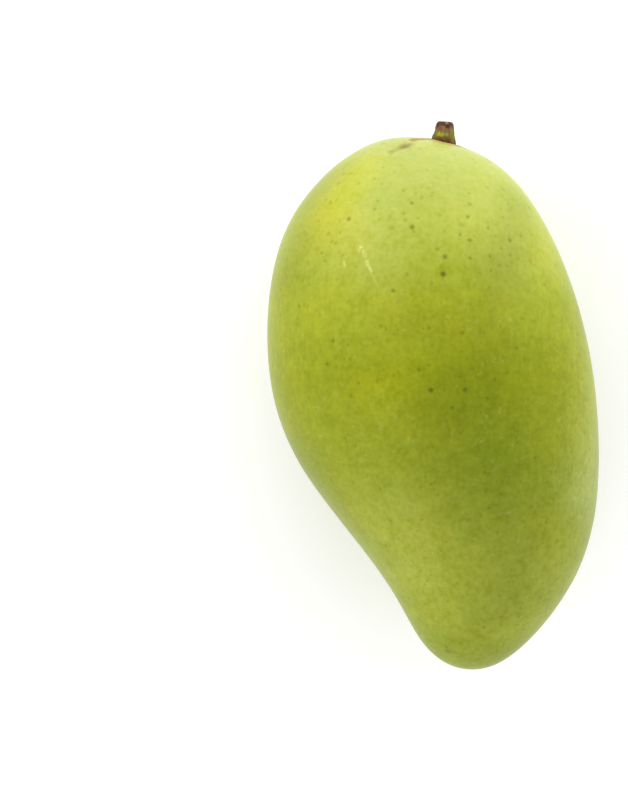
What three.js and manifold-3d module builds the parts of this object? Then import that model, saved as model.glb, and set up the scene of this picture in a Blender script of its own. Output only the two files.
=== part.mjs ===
// A green mango lying on its cheek, with the stub of its stalk.
// Millimetres, +Z up. The long axis runs along Y with the stalk end at +Y, and the beak leans towards +X.
// The origin is on the resting surface, under the middle of the object's box.
import * as THREE from "three";
import { mergeVertices } from "three/addons/utils/BufferGeometryUtils.js";
import Module from "manifold-3d";

// Driving dimensions of the fruit

// From the top of the stalk end to the beak, before the stalk basin is pressed in.
const FRUIT_LENGTH = 135.8;

// Cross-sections at equal angles round the fruit, from the stalk end to the beak.
// centre is how far the axis bends towards the back, and breadth and thickness are the half axes
// of the ellipsoid that fits the fruit at that station.
const STATIONS = [
  { centre: -4.9, breadth: 45.8, thickness: 39.0 },
  { centre: -4.0, breadth: 44.7, thickness: 38.2 },
  { centre: -4.0, breadth: 43.3, thickness: 36.8 },
  { centre: -1.4, breadth: 41.7, thickness: 35.2 },
  { centre: 4.0, breadth: 39.2, thickness: 33.0 },
  { centre: 11.4, breadth: 32.8, thickness: 29.5 },
  { centre: 10.6, breadth: 30.2, thickness: 27.0 },
  { centre: 10.0, breadth: 31.0, thickness: 26.5 },
];

// The shallow basin that the stalk stands in, and how deep the cheek is pressed flat where it lies.
const BASIN = { depth: 0.9, spread: 9 };
const FLAT_DEPTH = 0.8;

// Driving dimensions of the stalk stub

// Where it stands, measured across the fruit from its axis, and the way it points.
const STALK_FOOT = { x: 2.7, z: 1.5 };
const STALK_DIRECTION = new THREE.Vector3(0.07, 1, 0.12).normalize();

// Radii from the corky foot to the cut end, with their heights above the skin.
const STALK_ROOT = -2;
const STALK_PROFILE = [
  { radius: 3.0, height: 0.4 },
  { radius: 2.6, height: 1.2 },
  { radius: 2.3, height: 2.6 },
  { radius: 2.1, height: 4.6 },
  { radius: 1.8, height: 5.0 },
];

// The stalk's foot follows the skin at this distance.
const FOOT_GAP = 0.3;

// Facets
const FRUIT_DETAIL = 13;
const STALK_SIDES = 24;

const wasm = await Module();
wasm.setup();

// A smooth curve through the stations, as a sum of cosines. It is level at both ends, which keeps them round.
function throughStations(values) {
  const last = values.length - 1;
  const share = (k) => (k === 0 || k === last ? 0.5 : 1);
  const terms = values.map((_, m) => {
    const sum = values.reduce((s, v, k) => s + share(k) * v * Math.cos((m * k * Math.PI) / last), 0);
    return ((2 * share(m)) / last) * sum;
  });
  return (angle) => terms.reduce((s, term, m) => s + term * Math.cos(m * angle), 0);
}

const centreAt = throughStations(STATIONS.map((station) => station.centre));
const breadthAt = throughStations(STATIONS.map((station) => station.breadth));
const thicknessAt = throughStations(STATIONS.map((station) => station.thickness));

// The point of the skin in the direction of a unit vector, seen from the middle of the fruit.
function skinPoint(direction) {
  const angle = Math.acos(THREE.MathUtils.clamp(direction.y, -1, 1));
  const point = new THREE.Vector3(
    centreAt(angle) + breadthAt(angle) * direction.x,
    (FRUIT_LENGTH / 2) * direction.y,
    thicknessAt(angle) * direction.z,
  );
  if (direction.y > 0) {
    const off = Math.hypot(point.x - STALK_FOOT.x, point.z - STALK_FOOT.z);
    point.y -= BASIN.depth * Math.exp(-(off ** 2) / (2 * BASIN.spread ** 2));
  }
  return point;
}

// The point of the skin under the stalk, found by stepping towards it from the end of the axis.
function stalkSeat() {
  const direction = new THREE.Vector3(0, 1, 0);
  for (let step = 0; step < 20; step++) {
    const point = skinPoint(direction);
    direction.x += (STALK_FOOT.x - point.x) / breadthAt(0);
    direction.z += (STALK_FOOT.z - point.z) / thicknessAt(0);
    direction.normalize();
  }
  return skinPoint(direction);
}

// Turns a closed geometry into a solid that can be cut.
function solidFrom(geometry) {
  const bare = geometry.clone();
  bare.deleteAttribute("normal");
  bare.deleteAttribute("uv");
  const merged = mergeVertices(bare);
  return new wasm.Manifold(
    new wasm.Mesh({
      numProp: 3,
      vertProperties: new Float32Array(merged.attributes.position.array),
      triVerts: new Uint32Array(merged.index.array),
    }),
  );
}

// What is left of one closed geometry when another is cut away from it.
function cutAway(geometry, tool) {
  const { vertProperties, triVerts } = solidFrom(geometry).subtract(solidFrom(tool)).getMesh();
  const cut = new THREE.BufferGeometry();
  cut.setAttribute("position", new THREE.BufferAttribute(vertProperties, 3));
  cut.setIndex(new THREE.BufferAttribute(triVerts, 1));
  cut.computeVertexNormals();
  return cut;
}

// The whole skin: a ball of even facets, drawn out to the shape of the fruit.
function makeSkin() {
  const skin = new THREE.IcosahedronGeometry(1, FRUIT_DETAIL);
  const { position } = skin.attributes;
  const direction = new THREE.Vector3();
  for (let i = 0; i < position.count; i++) {
    direction.fromBufferAttribute(position, i).normalize();
    position.setXYZ(i, ...skinPoint(direction).toArray());
  }
  return skin;
}

// The fruit, with the cheek that it lies on cut flat.
function makeFruit(skin) {
  skin.computeBoundingBox();
  const reach = 2 * FRUIT_LENGTH;
  const ground = new THREE.BoxGeometry(reach, reach, reach);
  ground.translate(0, 0, skin.boundingBox.min.z + FLAT_DEPTH - reach / 2);

  const material = new THREE.MeshStandardMaterial({ color: 0x9dac32, roughness: 0.45, metalness: 0 });
  const fruit = new THREE.Mesh(cutAway(skin, ground), material);
  fruit.name = "fruit";
  return fruit;
}

// The stalk stub: turned about its own axis, with its foot cut to the slope of the skin.
function makeStalk(skin) {
  const foot = STALK_PROFILE[0];
  const tip = STALK_PROFILE.at(-1);
  const profile = [
    new THREE.Vector2(0, STALK_ROOT),
    new THREE.Vector2(foot.radius, STALK_ROOT),
    ...STALK_PROFILE.map(({ radius, height }) => new THREE.Vector2(radius, height)),
    new THREE.Vector2(0, tip.height),
  ];
  const stub = new THREE.LatheGeometry(profile, STALK_SIDES);

  const material = new THREE.MeshStandardMaterial({ color: 0x6f5a2a, roughness: 0.85, metalness: 0 });
  const stalk = new THREE.Mesh(stub, material);
  stalk.name = "stalk";
  stalk.position.copy(stalkSeat());
  stalk.quaternion.setFromUnitVectors(new THREE.Vector3(0, 1, 0), STALK_DIRECTION);
  stalk.updateMatrix();

  const raisedSkin = skin.clone().applyMatrix4(stalk.matrix.clone().invert()).translate(0, FOOT_GAP, 0);
  stalk.geometry = cutAway(stub, raisedSkin);
  return stalk;
}

const skin = makeSkin();
const mango = new THREE.Group();
mango.name = "mango";
mango.add(makeFruit(skin), makeStalk(skin));

// The origin goes under the middle of the object, on the surface it lies on.
const box = new THREE.Box3().setFromObject(mango, true);
const middle = box.getCenter(new THREE.Vector3());
mango.position.set(-middle.x, -middle.y, -box.min.z);

export default mango;
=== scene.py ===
# %% [markdown]
# A green mango lying on a pale floor, seen from straight above. The fruit's solid and its stalk come in
# as a fixed frame at their real size, in metres. This lesson models a finer skin and a finer stalk over
# them, gives both their finish, and then sets up the light.

# %% Load the frame
import math

import bmesh
import bpy
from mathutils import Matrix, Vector, noise
from mathutils.bvhtree import BVHTree


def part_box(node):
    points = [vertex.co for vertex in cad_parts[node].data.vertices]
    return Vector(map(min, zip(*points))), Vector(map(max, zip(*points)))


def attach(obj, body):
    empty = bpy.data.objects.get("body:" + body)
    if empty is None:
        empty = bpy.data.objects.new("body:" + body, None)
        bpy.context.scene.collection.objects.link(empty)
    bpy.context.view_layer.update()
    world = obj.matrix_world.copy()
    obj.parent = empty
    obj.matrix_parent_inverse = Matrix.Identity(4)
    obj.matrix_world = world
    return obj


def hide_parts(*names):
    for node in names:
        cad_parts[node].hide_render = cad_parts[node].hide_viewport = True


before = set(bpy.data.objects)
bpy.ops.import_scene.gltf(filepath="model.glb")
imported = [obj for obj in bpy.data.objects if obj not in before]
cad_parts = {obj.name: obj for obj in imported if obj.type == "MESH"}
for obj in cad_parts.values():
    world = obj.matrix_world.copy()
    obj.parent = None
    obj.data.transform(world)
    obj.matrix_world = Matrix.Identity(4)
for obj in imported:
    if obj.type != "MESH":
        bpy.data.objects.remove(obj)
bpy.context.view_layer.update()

MM = 0.001
fruit_low, fruit_high = (Vector(corner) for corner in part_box("fruit"))
print("fruit, in mm:", [round(side / MM, 1) for side in fruit_high - fruit_low])

# %% [markdown]
# The camera comes first, because every later choice is judged through it. A mango can't stand on its
# beak, so it lies down, and the camera hangs above it and looks straight down: the stalk end points to
# the top of the picture. A long lens from a metre away keeps the outline close to the true one. The fruit
# sits right of the middle of the picture, so the camera hangs left of it rather than being shifted.

# %% Camera
PICTURE_PIXELS = Vector((628, 800))
PICTURE_HEIGHT = 203.3 * MM
CAMERA_DISTANCE = 1.0
CAMERA_OFFSET = Vector((-30.3, -1.2, 0)) * MM
SENSOR = 36.0

fruit_middle = (fruit_low + fruit_high) / 2
camera_data = bpy.data.cameras.new("camera")
camera_data.sensor_fit = "VERTICAL"
camera_data.sensor_height = SENSOR
camera_data.lens = SENSOR * CAMERA_DISTANCE / PICTURE_HEIGHT
camera = bpy.data.objects.new("camera", camera_data)
camera.location = Vector((0, 0, fruit_middle.z + CAMERA_DISTANCE)) + CAMERA_OFFSET
bpy.context.scene.collection.objects.link(camera)
bpy.context.scene.camera = camera
print("lens, in mm:", round(camera_data.lens, 1))

# %% [markdown]
# A mango's outline is egg-shaped at the stalk and hollow along the belly above the beak. It could be
# sculpted by hand, or drawn as a ring of points, but then nothing about it could be changed. Here it is a
# formula: a ball is stretched to the fruit's length, and its breadth, thickness and sideways bend follow
# smooth curves through eight stations, in millimetres. The curves are sums of cosines, so they arrive
# level at both ends and the ends stay round.

# %% The fruit's form
FRUIT_LENGTH = 135.8 * MM
BENDS = [-4.9, -4.0, -4.0, -1.4, 4.0, 11.4, 10.6, 10.0]
BREADTHS = [45.8, 44.7, 43.3, 41.7, 39.2, 32.8, 30.2, 31.0]
THICKNESSES = [39.0, 38.2, 36.8, 35.2, 33.0, 29.5, 27.0, 26.5]
BASIN_DEPTH = 0.9 * MM
BASIN_SPREAD = 9 * MM
STALK_FOOT_X = 2.7 * MM
STALK_FOOT_Z = 1.5 * MM


def through_stations(values):
    last = len(values) - 1
    shares = [0.5 if k in (0, last) else 1 for k in range(len(values))]
    terms = []
    for m in range(len(values)):
        waves = [math.cos(m * k * math.pi / last) for k in range(len(values))]
        total = sum(share * value * wave for share, value, wave in zip(shares, values, waves))
        terms.append(2 / last * shares[m] * total * MM)
    return lambda angle: sum(term * math.cos(m * angle) for m, term in enumerate(terms))


bend_at = through_stations(BENDS)
breadth_at = through_stations(BREADTHS)
thickness_at = through_stations(THICKNESSES)


def fruit_point(direction):
    angle = math.acos(max(-1.0, min(1.0, direction.y)))
    x = bend_at(angle) + breadth_at(angle) * direction.x
    y = FRUIT_LENGTH / 2 * direction.y
    z = thickness_at(angle) * direction.z
    if direction.y > 0:
        off = math.hypot(x - STALK_FOOT_X, z - STALK_FOOT_Z)
        y -= BASIN_DEPTH * math.exp(-(off / BASIN_SPREAD) ** 2 / 2)
    return Vector((x, y, z))


print("breadth at the middle, in mm:", round(2 * breadth_at(math.pi / 2) / MM, 1))

# %% [markdown]
# An even mesh takes dents and wrinkles better than a globe whose faces crowd at two poles. So the ball
# starts as a cube: its edges are subdivided into a grid, and every point is pushed out to the form. The
# tangent spreads the grid, so that faces near a cube's corner end up about as large as those at the
# middle of its sides.

# %% Skin mesh
GRID = 100


def ball_direction(corner):
    spread = Vector([math.tan(side * math.pi / 4) for side in corner])
    return spread.normalized()


skin_mesh = bmesh.new()
bmesh.ops.create_cube(skin_mesh, size=2)
bmesh.ops.subdivide_edges(skin_mesh, edges=skin_mesh.edges[:], cuts=GRID - 1, use_grid_fill=True)
for vertex in skin_mesh.verts:
    vertex.co = fruit_point(ball_direction(vertex.co))

# The form is centred on the frame's fruit, and its upper cheek is as high as the frame's.
form_low = Vector([min(vertex.co[axis] for vertex in skin_mesh.verts) for axis in range(3)])
form_high = Vector([max(vertex.co[axis] for vertex in skin_mesh.verts) for axis in range(3)])
form_place = (fruit_low + fruit_high - form_low - form_high) / 2
form_place.z = fruit_high.z - form_high.z
bmesh.ops.translate(skin_mesh, vec=form_place, verts=skin_mesh.verts)
print("skin faces:", len(skin_mesh.faces), "moved by, in mm:", [round(side / MM, 2) for side in form_place])

# %% [markdown]
# Marks on the skin, such as a crease, a scratch and the largest dots, are known by where they show in the
# picture. Their places on the fruit could be measured one by one, but a ray finds them all: it is cast
# from the camera through each mark's pixel to the form.

# %% From a pixel to the skin
form_tree = BVHTree.FromBMesh(skin_mesh)


def under_pixel(x, y, tree=form_tree):
    off_centre = Vector((x - PICTURE_PIXELS.x / 2, PICTURE_PIXELS.y / 2 - y))
    off_axis = off_centre * PICTURE_HEIGHT / PICTURE_PIXELS.y
    ray = Vector((off_axis.x, off_axis.y, -CAMERA_DISTANCE))
    return tree.ray_cast(camera.location, ray.normalized())[0]


CREASE_PIXELS = [(391, 150), (404, 145.5), (412, 142.5)]
STYLE_SCAR_PIXEL = (448, 651)
crease = [under_pixel(*pixel) for pixel in CREASE_PIXELS]
style_scar = under_pixel(*STYLE_SCAR_PIXEL)
print("style scar, in mm:", [round(side / MM, 1) for side in style_scar])

# %% [markdown]
# A real skin is never a perfect formula. It heaves a little over the flesh, has a pinched crease beside
# the stalk, a corky ring where the stalk grew, a small nub near the beak where the flower's style dried
# up, and a soft flat spot where the fruit lies. A bump in the finish could fake them, but these are large
# enough to change the outline or catch the light, so points are moved.

# %% Skin relief
HEAVES = [(26 * MM, 0.22 * MM), (9 * MM, 0.05 * MM)]
CREASE_WIDTH = 1.6 * MM
CREASE_DEPTH = 0.35 * MM
SCAR_RING_RADIUS = 3.9 * MM
SCAR_RING_WIDTH = 0.9 * MM
SCAR_RING_HEIGHT = 0.25 * MM
SCAR_LUMP_SIZE = 1.6 * MM
SCAR_LUMP_MEAN = 0.6
SCAR_LUMP_SWING = 0.5
STYLE_SCAR_WIDTH = 1.4 * MM
STYLE_SCAR_HEIGHT = 0.3 * MM
REST_SOFTNESS = 0.15 * MM

stalk_foot = Vector((STALK_FOOT_X, 0, STALK_FOOT_Z)) + form_place


def bell(distance, width):
    return math.exp(-(distance / width) ** 2)


def distance_to_line(point, points):
    nearest = math.inf
    for start, end in zip(points, points[1:]):
        along = end - start
        share = (point - start).dot(along) / along.length_squared
        share = max(0.0, min(1.0, share))
        nearest = min(nearest, (point - start - along * share).length)
    return nearest


def skin_relief(point):
    height = sum(depth * noise.noise(point / size) for size, depth in HEAVES)
    height -= CREASE_DEPTH * bell(distance_to_line(point, crease), CREASE_WIDTH)
    height += STYLE_SCAR_HEIGHT * bell((point - style_scar).length, STYLE_SCAR_WIDTH)
    if point.y > 0:
        off_stalk = math.hypot(point.x - stalk_foot.x, point.z - stalk_foot.z)
        lumps = SCAR_LUMP_MEAN + SCAR_LUMP_SWING * noise.noise(point / SCAR_LUMP_SIZE)
        height += SCAR_RING_HEIGHT * lumps * bell(off_stalk - SCAR_RING_RADIUS, SCAR_RING_WIDTH)
    return height


# What would lie under the floor is lifted to it, with a soft edge.
def lifted_to_floor(height):
    return (height + math.hypot(height, REST_SOFTNESS)) / 2


skin_mesh.normal_update()
moves = [vertex.normal * skin_relief(vertex.co) for vertex in skin_mesh.verts]
for vertex, move in zip(skin_mesh.verts, moves):
    vertex.co += move
    vertex.co.z = lifted_to_floor(vertex.co.z)
print("largest relief, in mm:", round(max(move.length for move in moves) / MM, 2))

# %% [markdown]
# Every piece ends in the same way: its faces are turned outwards and shaded smooth, and its mesh goes
# into an object that stays at the origin. This could be written out each time, but one helper keeps the
# pieces alike. The skin rides on the frame's one body and stands for the fruit's plain solid.


# %% Skin piece
def finish_piece(name, mesh):
    bmesh.ops.recalc_face_normals(mesh, faces=mesh.faces[:])
    for face in mesh.faces:
        face.smooth = True
    data = bpy.data.meshes.new(name)
    mesh.to_mesh(data)
    mesh.free()
    piece = bpy.data.objects.new(name, data)
    bpy.context.scene.collection.objects.link(piece)
    print(name, "has", len(data.polygons), "faces")
    return piece


skin = finish_piece("skin", skin_mesh)
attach(skin, "root")
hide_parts("fruit")

# %% [markdown]
# The stalk stub is a dry twig, cut square: a flared corky foot, a ribbed side and a cut face with a dark
# rim round paler pith. It could be a plain turned shape, but a twig is uneven. So a circle is extruded
# ring by ring along the stalk's axis, and the cut face is inset and sunk. Each ring is a radius and a
# height above the skin, in millimetres.

# %% Stalk rings
STALK_SIDES = 64
STALK_RINGS = [
    (3.1, -1.2), (3.15, -0.4), (3.1, 0.1), (3.0, 0.5), (2.9, 0.9), (2.8, 1.3), (2.68, 1.8), (2.57, 2.3),
    (2.47, 2.8), (2.38, 3.3), (2.29, 3.8), (2.22, 4.2), (2.14, 4.5), (2.04, 4.75), (1.88, 4.95), (1.66, 5.1),
]
RIM_WIDTH = 0.3 * MM
PITH_DEPTH = 0.2 * MM

stalk_mesh = bmesh.new()
first_radius, first_height = STALK_RINGS[0]
ring = bmesh.ops.create_circle(stalk_mesh, segments=STALK_SIDES, radius=first_radius * MM)["verts"]
bmesh.ops.translate(stalk_mesh, vec=Vector((0, 0, first_height * MM)), verts=ring)
edges = stalk_mesh.edges[:]
bmesh.ops.edgeloop_fill(stalk_mesh, edges=edges)
for (radius, height), (next_radius, next_height) in zip(STALK_RINGS, STALK_RINGS[1:]):
    grown = bmesh.ops.extrude_edge_only(stalk_mesh, edges=edges)["geom"]
    ring = [part for part in grown if isinstance(part, bmesh.types.BMVert)]
    edges = [part for part in grown if isinstance(part, bmesh.types.BMEdge)]
    edges = [edge for edge in edges if all(vertex in ring for vertex in edge.verts)]
    bmesh.ops.translate(stalk_mesh, vec=Vector((0, 0, (next_height - height) * MM)), verts=ring)
    share = next_radius / radius
    bmesh.ops.scale(stalk_mesh, vec=Vector((share, share, 1)), verts=ring)

# The first inset leaves the rim, the second sinks the pith, and the third keeps its floor level.
cut_face = bmesh.ops.edgeloop_fill(stalk_mesh, edges=edges)["faces"]
for depth in (0, -PITH_DEPTH, 0):
    bmesh.ops.inset_individual(stalk_mesh, faces=cut_face, thickness=RIM_WIDTH, depth=depth)
bmesh.ops.poke(stalk_mesh, faces=cut_face)
bmesh.ops.recalc_face_normals(stalk_mesh, faces=stalk_mesh.faces[:])
print("stalk rings:", len(STALK_RINGS), "faces:", len(stalk_mesh.faces))

# %% [markdown]
# The twig stands a little askew on the skin, so the skin's slope under it has to be known. It could be
# read off the mesh, but the form's own formula is exact: a search steps to the point of the form under
# the stalk, and short steps to its sides give the slope.

# %% Skin slope under the stalk
STALK_DIRECTION = Vector((0.07, 1, 0.12)).normalized()
SEAT_STEPS = 20
SLOPE_STEP = 0.05


def seat_under_stalk():
    direction = Vector((0, 1, 0))
    for _ in range(SEAT_STEPS):
        point = fruit_point(direction)
        direction.x += (STALK_FOOT_X - point.x) / breadth_at(0)
        direction.z += (STALK_FOOT_Z - point.z) / thickness_at(0)
        direction.normalize()
    return direction


seat_direction = seat_under_stalk()
stalk_seat = fruit_point(seat_direction) + form_place
slopes = []
for step in (Vector((SLOPE_STEP, 0, 0)), Vector((0, 0, SLOPE_STEP))):
    ahead = fruit_point((seat_direction + step).normalized())
    behind = fruit_point((seat_direction - step).normalized())
    slopes.append(ahead - behind)
skin_normal = slopes[1].cross(slopes[0]).normalized()
print("skin slope under the stalk, in degrees:", round(math.degrees(skin_normal.angle(STALK_DIRECTION)), 1))

# %% [markdown]
# The twig's foot is sheared to the skin's slope, while its upper part stays true to its own axis. It
# could be left smooth and given a bump, but its outline shows against the floor. So ribs run along its
# side, and noise at two sizes makes the knobbles and the ragged foot. The stub then stands for the
# frame's plain stalk.

# %% Stalk shape and place
FOOT_HEIGHT = 2.4 * MM
RIBS = 7
RIB_HEIGHT = 0.06 * MM
RIB_WANDER = 2
KNOBBLES = [(1.6 * MM, 0.16 * MM), (0.6 * MM, 0.07 * MM)]
FOOT_RAGGEDNESS = 2.0
FULL_PUSH_RADIUS = 2 * MM


def bark_push(point, foot_share):
    angle = math.atan2(point.y, point.x)
    ribs = RIB_HEIGHT * math.cos(RIBS * angle + RIB_WANDER * noise.noise(point / FOOT_HEIGHT))
    knobbles = sum(depth * noise.noise(point / size) for size, depth in KNOBBLES)
    return ribs + knobbles * (1 + FOOT_RAGGEDNESS * foot_share)


stalk_turn = Vector((0, 0, 1)).rotation_difference(STALK_DIRECTION).to_matrix()
local_normal = stalk_turn.inverted() @ skin_normal
for vertex in stalk_mesh.verts:
    point = vertex.co.copy()
    foot_share = 1 - max(0.0, min(1.0, point.z / FOOT_HEIGHT))
    side = Vector((point.x, point.y, 0))
    if side.length > RIM_WIDTH:
        fullness = min(1, side.length / FULL_PUSH_RADIUS)
        point += side.normalized() * bark_push(point, foot_share) * fullness
    point.z -= foot_share * (local_normal.x * point.x + local_normal.y * point.y) / local_normal.z
    vertex.co = stalk_turn @ point + stalk_seat

# Extruding leaves the faces in no fixed order, so they are sorted from left to right.
stalk_mesh.faces.sort(key=lambda face: face.calc_center_median().x)
stalk_tree = BVHTree.FromBMesh(stalk_mesh)
stalk = finish_piece("stalk_stub", stalk_mesh)
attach(stalk, "root")
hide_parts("stalk")

# %% [markdown]
# Finishes are node trees. Written out node by node they are long and hard to read, so one small class
# wraps a node's output and lets it take part in ordinary sums: each operator adds a Math node.


# %% Shader sums
class Value:
    def __init__(self, finish, node, output):
        self.finish = finish
        self.socket = node.outputs[output]

    def join(self, operation, first, second):
        return self.finish.node("ShaderNodeMath", {"operation": operation}, {0: first, 1: second})

    def __add__(self, other):
        return self.join("ADD", self, other)

    def __radd__(self, other):
        return self.join("ADD", other, self)

    def __sub__(self, other):
        return self.join("SUBTRACT", self, other)

    def __rsub__(self, other):
        return self.join("SUBTRACT", other, self)

    def __mul__(self, other):
        return self.join("MULTIPLY", self, other)

    def __rmul__(self, other):
        return self.join("MULTIPLY", other, self)

    def __abs__(self):
        return self.join("ABSOLUTE", self, 0)

    def most(self, other):
        return self.join("MAXIMUM", self, other)


print("what a value can do:", [name for name, part in vars(Value).items() if callable(part)])

# %% [markdown]
# A second class holds the material and makes every other kind of node, each from its type, its settings
# and what its sockets are fed. Everything is worked out from the place on the piece, which could also
# come from an unwrapped picture, but this way no pattern has a seam and none slides when the piece is
# turned.

# %% Shader nodes
# The Mix node has sockets for each kind of data, and these are the ones for colours.
MIX_SHARE, MIX_FIRST, MIX_SECOND = 0, 6, 7
MIX_RESULT = 2

# The middle of a noise's range, from which it swings both ways.
NOISE_MIDDLE = 0.5


class Finish:
    def __init__(self, name):
        self.material = bpy.data.materials.new(name)
        self.material.use_nodes = True
        self.tree = self.material.node_tree
        self.shader = self.tree.nodes["Principled BSDF"]
        self.place = self.node("ShaderNodeTexCoord", output="Object")

    def node(self, kind, settings=None, sockets=None, output=0):
        node = self.tree.nodes.new(kind)
        for name, setting in (settings or {}).items():
            if name == "stops":
                self.set_stops(node.color_ramp.elements, setting)
            else:
                setattr(node, name, setting)
        for name, value in (sockets or {}).items():
            self.feed(node.inputs[name], value)
        return Value(self, node, output)

    def set_stops(self, elements, stops):
        while len(elements) < len(stops):
            elements.new(1)
        for element, (position, colour) in zip(elements, stops):
            element.position = position
            element.color = colour

    def feed(self, socket, value):
        if isinstance(value, Value):
            self.tree.links.new(value.socket, socket)
        else:
            socket.default_value = value

    def finish(self, **sockets):
        for name, value in sockets.items():
            self.feed(self.shader.inputs[name.replace("_", " ")], value)

    def vector(self, operation, sockets, output=0):
        return self.node("ShaderNodeVectorMath", {"operation": operation}, sockets, output)

    # From 0 where the value is at the start to 1 where it is at the end.
    def fade(self, value, start, end):
        ends = {"Value": value, "From Min": start, "From Max": end}
        return self.node("ShaderNodeMapRange", {"interpolation_type": "SMOOTHSTEP"}, ends)

    def mix(self, share, first, second, blend="MIX"):
        settings = {"data_type": "RGBA", "blend_type": blend}
        sockets = {MIX_SHARE: share, MIX_FIRST: first, MIX_SECOND: second}
        return self.node("ShaderNodeMix", settings, sockets, MIX_RESULT)

    def tint(self, share, colour, tint):
        return self.mix(share, colour, (*tint, 1), "MULTIPLY")

    def clouds(self, size, detail=1, stretch=(1, 1, 1)):
        scale = [1 / (size * side) for side in stretch]
        spread = self.node("ShaderNodeMapping", {}, {"Vector": self.place, "Scale": scale})
        return self.node("ShaderNodeTexNoise", {}, {"Vector": spread, "Scale": 1, "Detail": detail})

    def grains(self, spacing):
        settings = {"Vector": self.place, "Scale": 1 / spacing}
        return self.node("ShaderNodeTexVoronoi", {}, settings, "Distance")

    def gap_to_point(self, point):
        return self.vector("DISTANCE", {0: self.place, 1: point}, "Value")

    def gap_to_line(self, start, end):
        direction = (end - start).normalized()
        offset = self.vector("SUBTRACT", {0: self.place, 1: start})
        along_line = self.vector("DOT_PRODUCT", {0: offset, 1: direction}, "Value")
        limits = {"Value": along_line, "Min": 0, "Max": (end - start).length}
        along_line = self.node("ShaderNodeClamp", {}, limits)
        nearest = self.vector("SCALE", {0: direction, "Scale": along_line})
        return self.vector("DISTANCE", {0: offset, 1: nearest}, "Value")


# A colour's code as it would be read from a screen, in the linear light that the shaders work in.
def shade(code):
    parts = [int(code[place:place + 2], 16) / 255 for place in (1, 3, 5)]
    linear = [part / 12.92 if part <= 0.04045 else ((part + 0.055) / 1.055) ** 2.4 for part in parts]
    return (*linear, 1)


print("a mid green in linear light:", [round(part, 3) for part in shade("#8b961f")])

# %% [markdown]
# The skin of this mango is a satin, waxy green: deep green over the cheek, paler towards the beak, and a
# pale yellow-green on the shoulders, which is partly painted light from the boxes beyond the stalk end.
# One shoulder is yellower. It could be painted by hand, but then the hidden side would have to be painted
# too. So the greens are stops along the fruit, and soft patches multiply them, each round a line between
# two pixels. Some patches are the skin's own tone, and the others are painted light and shade: painted
# light on the left cheek, a painted reflection that pales the right flank, and painted shade that deepens
# the middle of the cheek, the upper left edge, the belly and the beak.

# %% Skin colour
# The stops grow paler towards the shoulders, partly as the skin's own colour and partly as painted light.
GREENS = [
    (0.00, shade("#8d9732")), (0.18, shade("#919a33")), (0.38, shade("#828c1b")), (0.55, shade("#848c0c")),
    (0.70, shade("#939c22")), (0.84, shade("#a9b246")), (1.00, shade("#b0b964")),
]
GREENS_WANDER = {"size": 30 * MM, "share": 0.06}
# Some patches are the skin's own tone; those named painted are light and shade painted into the colour.
TONE_AND_PAINTED_LIGHT_PATCHES = {
    "yellow shoulder": {"from": (336, 200), "to": (356, 170), "reach": 12 * MM, "tint": (1.22, 1.11, 0.72)},
    "yellow cheek": {"from": (322, 232), "to": (352, 238), "reach": 12 * MM, "tint": (1.04, 0.98, 0.74)},
    # Painted shade along the upper left edge.
    "painted shade left edge": {"from": (324, 180), "to": (287, 262), "reach": 19 * MM, "tint": (0.77, 0.78, 0.58)},
    # Painted light over the left of the cheek.
    "painted light left cheek": {"from": (362, 250), "to": (402, 520), "reach": 20 * MM, "tint": (1.13, 1.11, 1.8)},
    # Painted shade on the middle of the cheek, where it is darkest.
    "painted shade mid cheek": {"from": (472, 418), "to": (505, 490), "reach": 25 * MM, "tint": (0.80, 0.86, 0.88)},
    # A painted reflection: a pale, bluish band along the right flank.
    "painted reflection right flank": {"from": (592, 380), "to": (592, 470), "reach": 20 * MM, "tint": (1.30, 1.29, 5.2)},
    "deep shoulder": {"from": (520, 210), "to": (502, 268), "reach": 13 * MM, "tint": (0.83, 0.84, 0.83)},
    # Painted shade along the belly's edge.
    "painted shade belly": {"from": (308, 472), "to": (423, 642), "reach": 18 * MM, "tint": (0.82, 0.84, 0.66)},
    # Painted shade at the beak's end.
    "painted shade beak": {"from": (450, 650), "to": (500, 655), "reach": 16 * MM, "tint": (0.92, 0.93, 0.82)},
    "green flank": {"from": (502, 600), "to": (522, 570), "reach": 14 * MM, "tint": (0.90, 0.91, 0.92)},
    "bright middle": {"from": (412, 362), "to": (384, 402), "reach": 10 * MM, "tint": (1.09, 1.08, 1.1)},
    "deep back": {"from": (488, 322), "to": (500, 348), "reach": 11 * MM, "tint": (0.90, 0.91, 0.9)},
    "bright beak": {"from": (502, 634), "to": (528, 628), "reach": 9 * MM, "tint": (1.11, 1.11, 1.1)},
}

skin_finish = Finish("mango_skin")
along = skin_finish.node("ShaderNodeSeparateXYZ", {}, {0: skin_finish.place}, "Y")
wander = (skin_finish.clouds(GREENS_WANDER["size"]) - NOISE_MIDDLE) * GREENS_WANDER["share"]
along_share = (along - fruit_low.y) * (1 / (fruit_high.y - fruit_low.y))
green = skin_finish.node("ShaderNodeValToRGB", {"stops": GREENS}, {"Fac": along_share + wander}, "Color")
for patch in TONE_AND_PAINTED_LIGHT_PATCHES.values():
    gap = skin_finish.gap_to_line(under_pixel(*patch["from"]), under_pixel(*patch["to"]))
    green = skin_finish.tint(skin_finish.fade(gap, patch["reach"], 0), green, patch["tint"])
print("skin nodes for the broad colour:", len(skin_finish.tree.nodes))

# %% [markdown]
# Close up, the skin is never one colour. It is mottled at several sizes, faintly streaked along the
# fruit, and its hue drifts. One strong noise could do all that, but it looks like marble. So each is a
# noise of its own size that changes the colour by only a few per cent, and the eye sees them together as
# skin.

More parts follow.
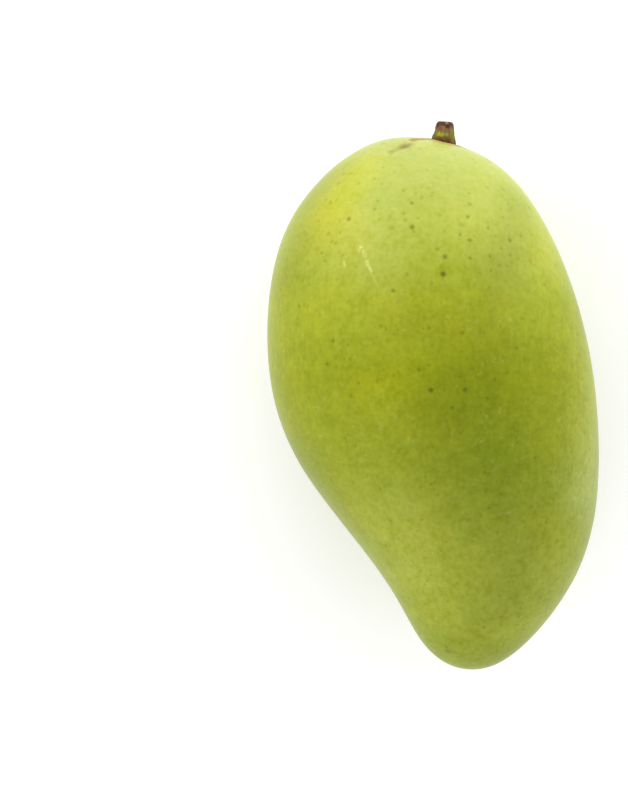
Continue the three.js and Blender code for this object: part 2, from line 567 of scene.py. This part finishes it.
# %% Skin mottling
HUE_SIZE = 14 * MM
WARM_HUES = (0.47, 0.75)
WARM_TINT = (1.04, 1.0, 0.85)
COOL_HUES = (0.53, 0.25)
COOL_TINT = (0.96, 0.99, 0.9)
STREAK = {"size": 0.9 * MM, "stretch": (1, 5, 1), "depth": 0.12}
MOTTLES = [(7 * MM, 0.11), (3 * MM, 0.20), (1.2 * MM, 0.24)]
MOTTLE_AT_STALK = 0.65
MOTTLE_GAIN = 0.7
MOTTLE_GROWTH = (0.95, 0.6)
DARK_MOTTLES = (0.02, -0.12)
DARK_MOTTLE_TINT = (1.0, 1.0, 0.55)

hue = skin_finish.clouds(HUE_SIZE, detail=2)
green = skin_finish.tint(skin_finish.fade(hue, *WARM_HUES), green, WARM_TINT)
green = skin_finish.tint(skin_finish.fade(hue, *COOL_HUES), green, COOL_TINT)
streaks = skin_finish.clouds(STREAK["size"], stretch=STREAK["stretch"])
mottle = (streaks - NOISE_MIDDLE) * STREAK["depth"]
for size, depth in MOTTLES:
    mottle = mottle + (skin_finish.clouds(size) - NOISE_MIDDLE) * depth
mottle = mottle * (skin_finish.fade(along_share, *MOTTLE_GROWTH) * MOTTLE_GAIN + MOTTLE_AT_STALK)
green = skin_finish.vector("SCALE", {0: green, "Scale": mottle + 1})
green = skin_finish.tint(skin_finish.fade(mottle, *DARK_MOTTLES), green, DARK_MOTTLE_TINT)
print("skin nodes with mottling:", len(skin_finish.tree.nodes))

# %% [markdown]
# The wax is strewn with faint pale threads and small dark specks. Threads could be drawn as curves, but
# there are thousands, so they are where a noise passes through its middle value, broken up by two more.
# The specks are the middles of cells, and they come where the threads don't.

# %% Skin threads and specks
THREAD_SPACING = 2.6 * MM
THREAD_WIDTH = 0.045
THREAD_PLACES = (0.46, 0.62)
THREAD_BREAK = 1.5 * MM
THREAD_BREAKS = (0.46, 0.6)
THREAD_SHARE = 0.08
THREAD_CREAM = shade("#d8dfa0")
CLUMP_SIZE = 5 * MM
SPECK_SPACING = 2.4 * MM
SPECK_EDGE = (0.28, 0.08)
SPECK_PLACES = (0.54, 0.42)
SPECK_TINT = (0.82, 0.82, 0.5)

here_and_there = skin_finish.clouds(CLUMP_SIZE, detail=2)
thread_noise = skin_finish.clouds(THREAD_SPACING)
threads = skin_finish.fade(abs(thread_noise - NOISE_MIDDLE), THREAD_WIDTH, 0)
threads = threads * skin_finish.fade(here_and_there, *THREAD_PLACES)
threads = threads * skin_finish.fade(skin_finish.clouds(THREAD_BREAK), *THREAD_BREAKS)
green = skin_finish.mix(threads * THREAD_SHARE, green, THREAD_CREAM)
specks = skin_finish.fade(skin_finish.grains(SPECK_SPACING), *SPECK_EDGE)
specks = specks * skin_finish.fade(here_and_there, *SPECK_PLACES)
green = skin_finish.tint(specks, green, SPECK_TINT)
print("skin nodes with threads and specks:", len(skin_finish.tree.nodes))

# %% [markdown]
# The dots are the skin's pores, corked over as the fruit grew: soft olive-brown spots, largest and most
# crowded towards the stalk. A scatter could make them all, but the eye knows the large ones, so those are
# placed one by one, where they show: each row is a pixel and a radius in millimetres. A scatter of
# fainter pores covers the rest of the fruit, so that its hidden side has them too.

# %% Skin dots
DOT_PIXELS = [
    (412, 227, 0.58), (445, 257, 0.60), (443, 274, 0.68), (349, 219, 0.54), (336, 243, 0.44),
    (322, 253, 0.44), (407, 274, 0.47), (393, 291, 0.52), (510, 240, 0.52), (521, 236, 0.42),
    (501, 248, 0.42), (488, 228, 0.44), (468, 217, 0.50), (470, 240, 0.48), (490, 256, 0.44),
    (470, 258, 0.48), (460, 234, 0.40), (437, 249, 0.42), (412, 203, 0.48), (418, 218, 0.40),
    (405, 220, 0.40), (333, 341, 0.50), (327, 364, 0.46), (350, 359, 0.42), (419, 370, 0.45),
    (431, 390, 0.60), (465, 390, 0.53), (429, 328, 0.48), (381, 326, 0.42), (462, 333, 0.45),
    (517, 348, 0.42), (571, 328, 0.44), (495, 379, 0.45), (452, 408, 0.42), (299, 306, 0.44),
    (359, 383, 0.42), (345, 438, 0.42), (446, 542, 0.42), (489, 508, 0.44), (546, 522, 0.42),
    (520, 608, 0.42), (484, 627, 0.42),
]
LARGEST_DOT = max(radius for _, _, radius in DOT_PIXELS)
DOT_REACH = 1.8 * MM
DOT_CORE = 0.1 * MM
DOT_TINT = (0.39, 0.30, 0.0)
EDGE_WOBBLE = {"size": 0.7 * MM, "depth": 0.4 * MM}
PORE_SPACING = 4.6 * MM
PORE_GROWTH = (0.25, 0.9)
PORE_GAIN = 0.06
PORE_LEAST = 0.05
PORE_EDGE = (0.09, -0.03)
PORE_SHARE = 0.2

edge_wobble = (skin_finish.clouds(EDGE_WOBBLE["size"]) - NOISE_MIDDLE) * EDGE_WOBBLE["depth"]
dots = 0
for x, y, radius in DOT_PIXELS:
    gap = skin_finish.gap_to_point(under_pixel(x, y)) + edge_wobble
    dot = skin_finish.fade(gap, DOT_REACH * radius, DOT_CORE * radius) * (radius / LARGEST_DOT) ** 2
    dots = dot.most(dots)

pore_size = skin_finish.fade(along_share, *PORE_GROWTH) * PORE_GAIN + PORE_LEAST
pores = skin_finish.fade(skin_finish.grains(PORE_SPACING) - pore_size, *PORE_EDGE)
dots = dots.most(pores * PORE_SHARE)
green = skin_finish.tint(dots, green, DOT_TINT)
print("skin dots:", len(DOT_PIXELS))

# %% [markdown]
# Scars tell a real fruit from a toy one. On the shoulder is a pale graze, where something scraped the
# wax. It could be cut into the mesh, but it has no depth to speak of. So it is a few soft lines between
# pixels, with ragged edges, broken up by a noise.

# %% Skin grazes
GRAZES = [
    {"from": (360.5, 246.5), "to": (359, 251.5), "width": 0.65 * MM, "share": 0.22},
    {"from": (361.5, 247.5), "to": (366.5, 259), "width": 0.75 * MM, "share": 0.28},
    {"from": (366.5, 262), "to": (370.8, 271), "width": 0.75 * MM, "share": 0.46},
    {"from": (371.5, 273), "to": (378, 287), "width": 0.50 * MM, "share": 0.09},
    {"from": (344.2, 262), "to": (345, 266), "width": 0.70 * MM, "share": 0.25},
]
GRAZE_RAGGEDNESS = 2
GRAZE_BREAK = 1.1 * MM
GRAZE_BREAKS = (0.25, 0.55)
GRAZE_CREAM = shade("#ebef9c")

graze_break = skin_finish.fade(skin_finish.clouds(GRAZE_BREAK, detail=2), *GRAZE_BREAKS)
for graze in GRAZES:
    gap = skin_finish.gap_to_line(under_pixel(*graze["from"]), under_pixel(*graze["to"]))
    scratch = skin_finish.fade(gap + edge_wobble * GRAZE_RAGGEDNESS, graze["width"], 0) * graze_break
    green = skin_finish.mix(scratch * graze["share"], green, GRAZE_CREAM)
print("grazes:", len(GRAZES))

# %% [markdown]
# Tan cork rings the stalk's foot and runs a little way towards the crease, as a stain of dried sap does.
# It could be a piece of its own, but it is as thin as paint. So it is a soft mask round the foot and
# round a line from the foot, with an edge that wanders.

# %% Skin cork
CORK_END_PIXEL = (414, 139.4)
CORK_WIDTH = 1.8 * MM
CORK_CORE = 0.9 * MM
CORK_RING_REACH = 7 * MM
CORK_RING_RAGGEDNESS = 0.5
CORK_RING_SHARE = 0.85
CORK_WOBBLE = {"size": 2.2 * MM, "depth": 2 * MM}
CORK_SHARE = 0.75
CORK_TAN = shade("#9c7250")

cork_wobble = (skin_finish.clouds(CORK_WOBBLE["size"], detail=3) - NOISE_MIDDLE) * CORK_WOBBLE["depth"]
cork_gap = skin_finish.gap_to_line(stalk_seat, under_pixel(*CORK_END_PIXEL)) + cork_wobble
cork = skin_finish.fade(cork_gap, CORK_WIDTH, CORK_CORE)
ring_gap = skin_finish.gap_to_point(stalk_seat) + cork_wobble * CORK_RING_RAGGEDNESS
cork = cork.most(skin_finish.fade(ring_gap, CORK_RING_REACH, SCAR_RING_RADIUS) * CORK_RING_SHARE)
green = skin_finish.mix(cork * CORK_SHARE, green, CORK_TAN)
print("skin nodes with cork:", len(skin_finish.tree.nodes))

# %% [markdown]
# The crease is already pressed into the mesh, and the nub near the beak stands up from it. Brown spots
# sit along the fold: they are partly a stain and partly painted shade, and they also cover a pale
# reflection on the crease's lower wall. A thin line of painted shade follows the crease, and a grey mark
# of age covers the nub. Each spot is a pixel, a radius in millimetres and a share.

# %% Skin crease and beak mark
FOLD_STAIN_AND_SHADE_SPOTS = [
    (404.8, 145.6, 1.55, 1.0), (409.5, 143.4, 1.5, 0.55), (398.5, 148.3, 1.1, 0.35), (391.5, 150.8, 1.1, 0.6),
    (419.5, 148.3, 0.6, 0.35),
]
FOLD_REACH = 1.6 * MM
FOLD_CORE = 0.2 * MM
FOLD_STAIN_AND_SHADE_BROWN = shade("#857c30")
CREASE_SHADE_WIDTH = 0.7 * MM
CREASE_SHADE_TINT = (0.76, 0.73, 0.62)
STYLE_MARK_RADIUS = 1.5 * MM
STYLE_MARK_RAGGEDNESS = 0.5
STYLE_MARK_SHARE = 0.5
STYLE_MARK_TINT = (0.7, 0.66, 1.0)

# The brown spots are partly a stain and partly painted shade in the fold.
for x, y, radius, share in FOLD_STAIN_AND_SHADE_SPOTS:
    gap = skin_finish.gap_to_point(under_pixel(x, y)) + edge_wobble
    fold_stain_and_shade = skin_finish.fade(gap, FOLD_REACH * radius, FOLD_CORE * radius)
    green = skin_finish.mix(fold_stain_and_shade * share, green, FOLD_STAIN_AND_SHADE_BROWN)
# A thin line of painted shade darkens the crease.
for start, end in zip(crease, crease[1:]):
    gap = skin_finish.gap_to_line(start, end) + edge_wobble
    green = skin_finish.tint(skin_finish.fade(gap, CREASE_SHADE_WIDTH, 0), green, CREASE_SHADE_TINT)
style_gap = skin_finish.gap_to_point(style_scar) + cork_wobble * STYLE_MARK_RAGGEDNESS
style_mark = skin_finish.fade(style_gap, STYLE_MARK_RADIUS, 0)
green = skin_finish.tint(style_mark * STYLE_MARK_SHARE, green, STYLE_MARK_TINT)
print("skin nodes with scars:", len(skin_finish.tree.nodes))

# %% [markdown]
# The skin's gloss is a thin wax: a satin sheen, duller on dots and cork. Its grain is far too fine to
# model, so it is bump: the same mottling, streaks, threads and dots that carry the colour, and a finer
# noise.

# %% Skin gloss and grain
FINE_GRAIN = 0.45 * MM
FINE_RELIEF = 0.35
STREAK_RELIEF = 0.3
MOTTLE_RELIEF = 1.5
DOT_RELIEF = -0.4
THREAD_RELIEF = 0.2
GRAIN_STRENGTH = 0.35
GRAIN_DEPTH = 0.12 * MM
WAX_ROUGHNESS = 0.34
MOTTLE_DULLING = 0.3
DOT_DULLING = 0.25
CORK_DULLING = 0.3
WAX_SHINE = 0.13

grain = skin_finish.clouds(FINE_GRAIN, detail=2) * FINE_RELIEF + streaks * STREAK_RELIEF
grain = grain + mottle * MOTTLE_RELIEF + dots * DOT_RELIEF + threads * THREAD_RELIEF
relief = {"Height": grain, "Strength": GRAIN_STRENGTH, "Distance": GRAIN_DEPTH}
skin_bump = skin_finish.node("ShaderNodeBump", {}, relief)
roughness = mottle * MOTTLE_DULLING + dots * DOT_DULLING + cork * CORK_DULLING + WAX_ROUGHNESS
skin_finish.finish(Base_Color=green, Roughness=roughness, Normal=skin_bump)
skin_finish.finish(Specular_IOR_Level=WAX_SHINE)
skin.data.materials.append(skin_finish.material)
print("skin nodes in all:", len(skin_finish.tree.nodes))

# %% [markdown]
# The stalk is dry bark: a dark rim round the cut with paler pith in it, tan bark below, moss green where
# it was still alive, and a dark ragged foot. One brown with noise would do from afar, but not close up.
# So the colour follows the height along the twig, broken up by blotches, and patches of moss, lichen,
# tan, olive and dark brown sit where they show: each row is a pixel, a radius in millimetres and a colour.
# The olive on the twig's right side is painted shade.

# %% Stalk colour
STALK_HEIGHT = 5.2 * MM
BARKS = [
    (0.00, shade("#513a10")), (0.14, shade("#634a1c")), (0.28, shade("#70601f")), (0.44, shade("#7d7a2c")),
    (0.58, shade("#80623a")), (0.72, shade("#745438")), (0.82, shade("#553729")), (1.00, shade("#4c3026")),
]
PITH_TAN = shade("#a4855a")
BARK_TAN = shade("#8c6a48")
MOSS = shade("#a3a227")
LICHEN = shade("#808c4a")
OLIVE_AND_SHADE_GREEN = shade("#6c6a22")
SHADE_BROWN = shade("#4a2e06")
STALK_PATCHES = [
    # The two olive patches on the right are painted shade; the one on the left is the bark's own green.
    (452, 133, 1.2, OLIVE_AND_SHADE_GREEN), (453, 139, 1.0, OLIVE_AND_SHADE_GREEN), (435, 134, 0.5, OLIVE_AND_SHADE_GREEN), (447, 122.8, 0.5, PITH_TAN),
    (443.5, 127.5, 0.6, BARK_TAN), (440.5, 131.5, 0.5, BARK_TAN), (438.8, 134, 0.6, MOSS),
    (442.8, 134.8, 0.45, MOSS), (446, 134.3, 0.5, LICHEN), (448, 126.8, 0.5, SHADE_BROWN),
    (441.8, 140.2, 0.5, SHADE_BROWN),
]
PATCH_REACH = 1.3 * MM
PATCH_CORE = 0.5 * MM
PATCH_WOBBLE = 1.2 * MM
PATCH_SHARE = 0.8
BLOTCH_SIZE = 1.1 * MM
BLOTCH_SWING = 0.6

stalk_finish = Finish("dry_stalk")
offset = stalk_finish.vector("SUBTRACT", {0: stalk_finish.place, 1: stalk_seat})
height = stalk_finish.vector("DOT_PRODUCT", {0: offset, 1: STALK_DIRECTION}, "Value")
blotch = stalk_finish.clouds(BLOTCH_SIZE, detail=3)
height_share = height * (1 / STALK_HEIGHT) + (blotch - NOISE_MIDDLE) * BLOTCH_SWING
bark = stalk_finish.node("ShaderNodeValToRGB", {"stops": BARKS}, {"Fac": height_share}, "Color")
for x, y, radius, colour in STALK_PATCHES:
    gap = stalk_finish.gap_to_point(under_pixel(x, y, stalk_tree)) + (blotch - NOISE_MIDDLE) * PATCH_WOBBLE
    patch = stalk_finish.fade(gap, PATCH_REACH * radius, PATCH_CORE * radius)
    bark = stalk_finish.mix(patch * PATCH_SHARE, bark, colour)
print("stalk patches:", len(STALK_PATCHES))

# %% [markdown]
# Fibres run along the twig, pale on their crests and dark between. They are finer than the ribs that were
# modelled, so they are a noise stretched along the twig, which tints the bark and raises it as bump. Dry
# bark hardly shines.

# %% Stalk fibres
FIBRE = {"size": 0.45 * MM, "stretch": (1, 3, 1)}
FIBRE_CRESTS = (0.5, 0.8)
CREST_TINT = (1.35, 1.3, 1.2)
FIBRE_GAPS = (0.5, 0.2)
GAP_TINT = (0.45, 0.42, 0.38)
FIBRE_STRENGTH = 0.7
FIBRE_DEPTH = 0.25 * MM
BARK_ROUGHNESS = 0.75
BLOTCH_DULLING = 0.2
BARK_SHINE = 0.3

fibre = stalk_finish.clouds(FIBRE["size"], detail=2, stretch=FIBRE["stretch"])
bark = stalk_finish.tint(stalk_finish.fade(fibre, *FIBRE_CRESTS), bark, CREST_TINT)
bark = stalk_finish.tint(stalk_finish.fade(fibre, *FIBRE_GAPS), bark, GAP_TINT)
relief = {"Height": fibre + blotch, "Strength": FIBRE_STRENGTH, "Distance": FIBRE_DEPTH}
stalk_bump = stalk_finish.node("ShaderNodeBump", {}, relief)
roughness = blotch * BLOTCH_DULLING + BARK_ROUGHNESS
stalk_finish.finish(Base_Color=bark, Roughness=roughness, Normal=stalk_bump)
stalk_finish.finish(Specular_IOR_Level=BARK_SHINE)
stalk.data.materials.append(stalk_finish.material)
print("stalk nodes:", len(stalk_finish.tree.nodes))

# %% [markdown]
# The setting is a plain pale floor that glows a little, as a light table does. It is also a reflector:
# the light that it throws back from below is what makes the fruit's edges pale, and a painted reflection
# adds to it on the right flank. A curved backdrop could do the same, but from above only the floor shows.
# Its white is a little cool, because the fruit throws yellow light on it.

# %% Floor
FLOOR_SIDE = 6.0
FLOOR_DROP = 0.1 * MM
FLOOR_WHITE = (0.88, 0.88, 0.9, 1)
FLOOR_ROUGHNESS = 0.9
FLOOR_GLOW = 0.18

floor_mesh = bmesh.new()
bmesh.ops.create_grid(floor_mesh, x_segments=1, y_segments=1, size=FLOOR_SIDE / 2)
bmesh.ops.translate(floor_mesh, vec=Vector((0, 0, -FLOOR_DROP)), verts=floor_mesh.verts)
floor = finish_piece("floor", floor_mesh)
floor_finish = Finish("pale_floor")
floor_finish.finish(Base_Color=FLOOR_WHITE, Roughness=FLOOR_ROUGHNESS)
floor_finish.finish(Emission_Color=(1, 1, 1, 1), Emission_Strength=FLOOR_GLOW)
floor.data.materials.append(floor_finish.material)

# %% [markdown]
# The fruit lies in an even white tent, and soft boxes stand low round it. One large lamp overhead would
# be simpler, but it would make the middle of the cheek the brightest. Here the boxes beyond the stalk end
# make the shoulders bright, those at the sides and the beak fill the shade, and the middle of the cheek
# is the darkest. Only the boxes beyond the stalk show in the wax. The others are hidden from reflections,
# as polarised lamps are, so the green stays deep.

# %% Light
BOX_DISTANCE = 1.0
BOX_SIDE = 0.8
TENT_GLOW = 0.77
SOFT_BOXES = {
    "beyond_stalk": {"azimuth": 0, "elevation": 15, "power": 4.1, "gleams": True},
    "beyond_right": {"azimuth": 45, "elevation": 15, "power": 3.7, "gleams": True},
    "right": {"azimuth": 90, "elevation": 15, "power": 2.8, "gleams": False},
    "left": {"azimuth": -90, "elevation": 15, "power": 5.3, "gleams": False},
    "left_of_beak": {"azimuth": -135, "elevation": 15, "power": 3.0, "gleams": False},
}
for name, box in SOFT_BOXES.items():
    azimuth = math.radians(box["azimuth"])
    elevation = math.radians(box["elevation"])
    level = Vector((math.sin(azimuth), math.cos(azimuth), 0))
    towards = level * math.cos(elevation) + Vector((0, 0, math.sin(elevation)))
    lamp_data = bpy.data.lights.new(name, "AREA")
    lamp_data.size = BOX_SIDE
    lamp_data.energy = box["power"]
    lamp = bpy.data.objects.new(name, lamp_data)
    lamp.location = fruit_middle + towards * BOX_DISTANCE
    lamp.rotation_euler = towards.to_track_quat("Z", "Y").to_euler()
    lamp.visible_glossy = box["gleams"]
    bpy.context.scene.collection.objects.link(lamp)

world = bpy.data.worlds.new("white_tent")
world.use_nodes = True
tent = world.node_tree.nodes["Background"]
tent.inputs["Color"].default_value = (1, 1, 1, 1)
tent.inputs["Strength"].default_value = TENT_GLOW
bpy.context.scene.world = world
bpy.context.scene.view_settings.view_transform = "Standard"
print("soft boxes:", list(SOFT_BOXES))

# %% [markdown]
# The new pieces have to stay as large as the frame's solids.
